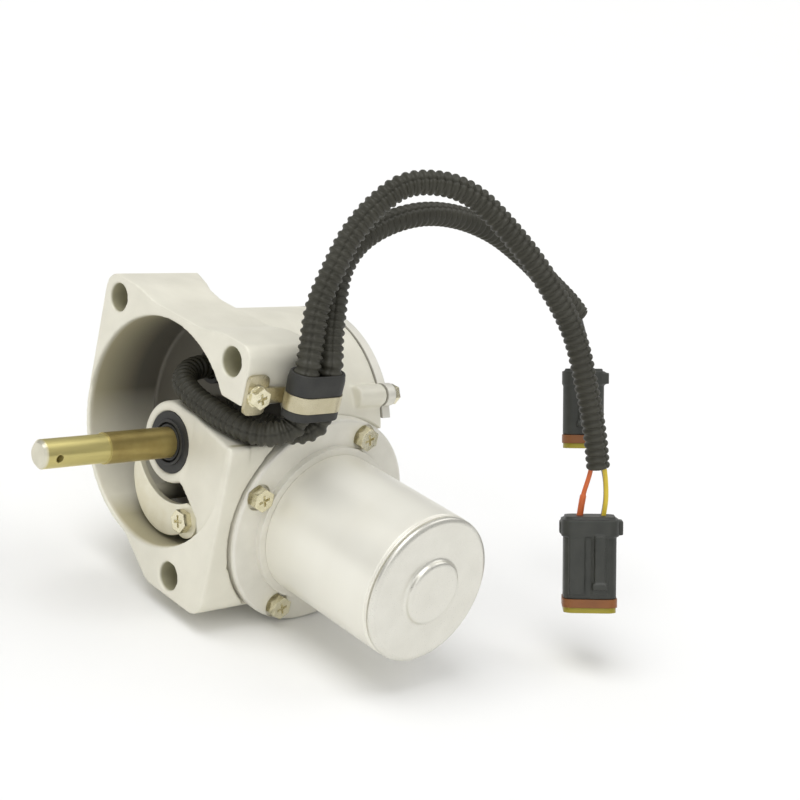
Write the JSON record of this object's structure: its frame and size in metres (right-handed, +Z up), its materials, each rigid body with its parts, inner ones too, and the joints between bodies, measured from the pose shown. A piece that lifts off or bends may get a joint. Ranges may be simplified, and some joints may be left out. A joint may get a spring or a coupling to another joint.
{
  "type": "engine governor actuator",
  "caption": "Flanged cast gear housing with a stub output shaft, a worm gear motor bolted to its side and two wired looms ending in sealed plugs.",
  "frame": {"origin": "where the output shaft's axis meets the plane of the mounting flange's face", "axes": "-Y along the output shaft, away from the flange face; +X along the motor's axis, away from the housing; +Z up, toward the two top mounting holes"},
  "size_m": [0.1787, 0.2511, 0.1836],
  "materials": {
    "cast_alloy": "satin cast, light silver",
    "machined_alloy": "satin",
    "plated_can": "satin plated",
    "gasket_paper": "matte",
    "yellow_zinc": "pale yellow zinc plated",
    "gold_zinc": "gold zinc plated",
    "black_rubber": "matte",
    "steel": "satin",
    "bronze": "satin",
    "dark_plastic": "matte",
    "ferrite": "matte",
    "copper": "satin",
    "loom_black": "satin",
    "wire_black": "satin",
    "wire_orange": "satin",
    "wire_yellow": "satin",
    "wire_blue": "satin",
    "plug_charcoal": "satin",
    "seal_orange": "satin",
    "wedge_green": "satin"
  },
  "bodies": {
    "housing": {"housing": "cast_alloy", "rear_gasket": "gasket_paper", "rear_cover": "machined_alloy", "rear_screws": "yellow_zinc", "shaft_seal": "black_rubber", "front_bearing": "steel", "rear_bearing": "steel", "worm_bush": "bronze", "sensor_body": "dark_plastic", "sensor_screws": "yellow_zinc", "guard_plate": "steel", "guard_screws": "yellow_zinc", "motor_gasket": "gasket_paper", "motor_flange": "machined_alloy", "motor_screws": "yellow_zinc", "motor_can": "plated_can", "motor_magnets": "ferrite", "motor_bearings": "steel", "brush_holder": "dark_plastic", "brushes": "ferrite", "motor_end_cap": "machined_alloy", "loom_clip_band": "steel", "loom_clip_cushion": "black_rubber", "loom_clip_screw": "yellow_zinc", "loom_grommets": "black_rubber", "motor_loom": "loom_black", "sensor_loom": "loom_black", "orange_wire": "wire_orange", "yellow_wire": "wire_yellow", "blue_wire": "wire_blue", "sensor_wires": "wire_black", "motor_plug_body": "plug_charcoal", "motor_plug_seal": "seal_orange", "motor_plug_face": "wedge_green", "sensor_plug_body": "plug_charcoal", "sensor_plug_seal": "seal_orange", "sensor_plug_face": "wedge_green"},
    "output": {"output_shaft": "gold_zinc", "worm_wheel": "bronze", "wheel_pin": "steel", "sensor_wiper": "dark_plastic"},
    "rotor": {"motor_shaft": "steel", "worm": "steel", "armature_core": "steel", "armature_winding": "copper", "commutator": "copper"}
  },
  "joints": [
    {"name": "motor_spin", "type": "hinge", "parent": "housing", "child": "rotor", "pos_m": [0, 0.05, -0.017], "axis": [1, 0, 0], "range_deg": [-1080, 1080]},
    {"name": "output_turn", "type": "hinge", "parent": "housing", "child": "output", "pos_m": [0, 0, 0], "axis": [0, 1, 0], "range_deg": [-45, 45]}
  ],
  "couplings": [
    {"joint": "output_turn", "follows": "motor_spin", "ratio": 0.041667}
  ]
}
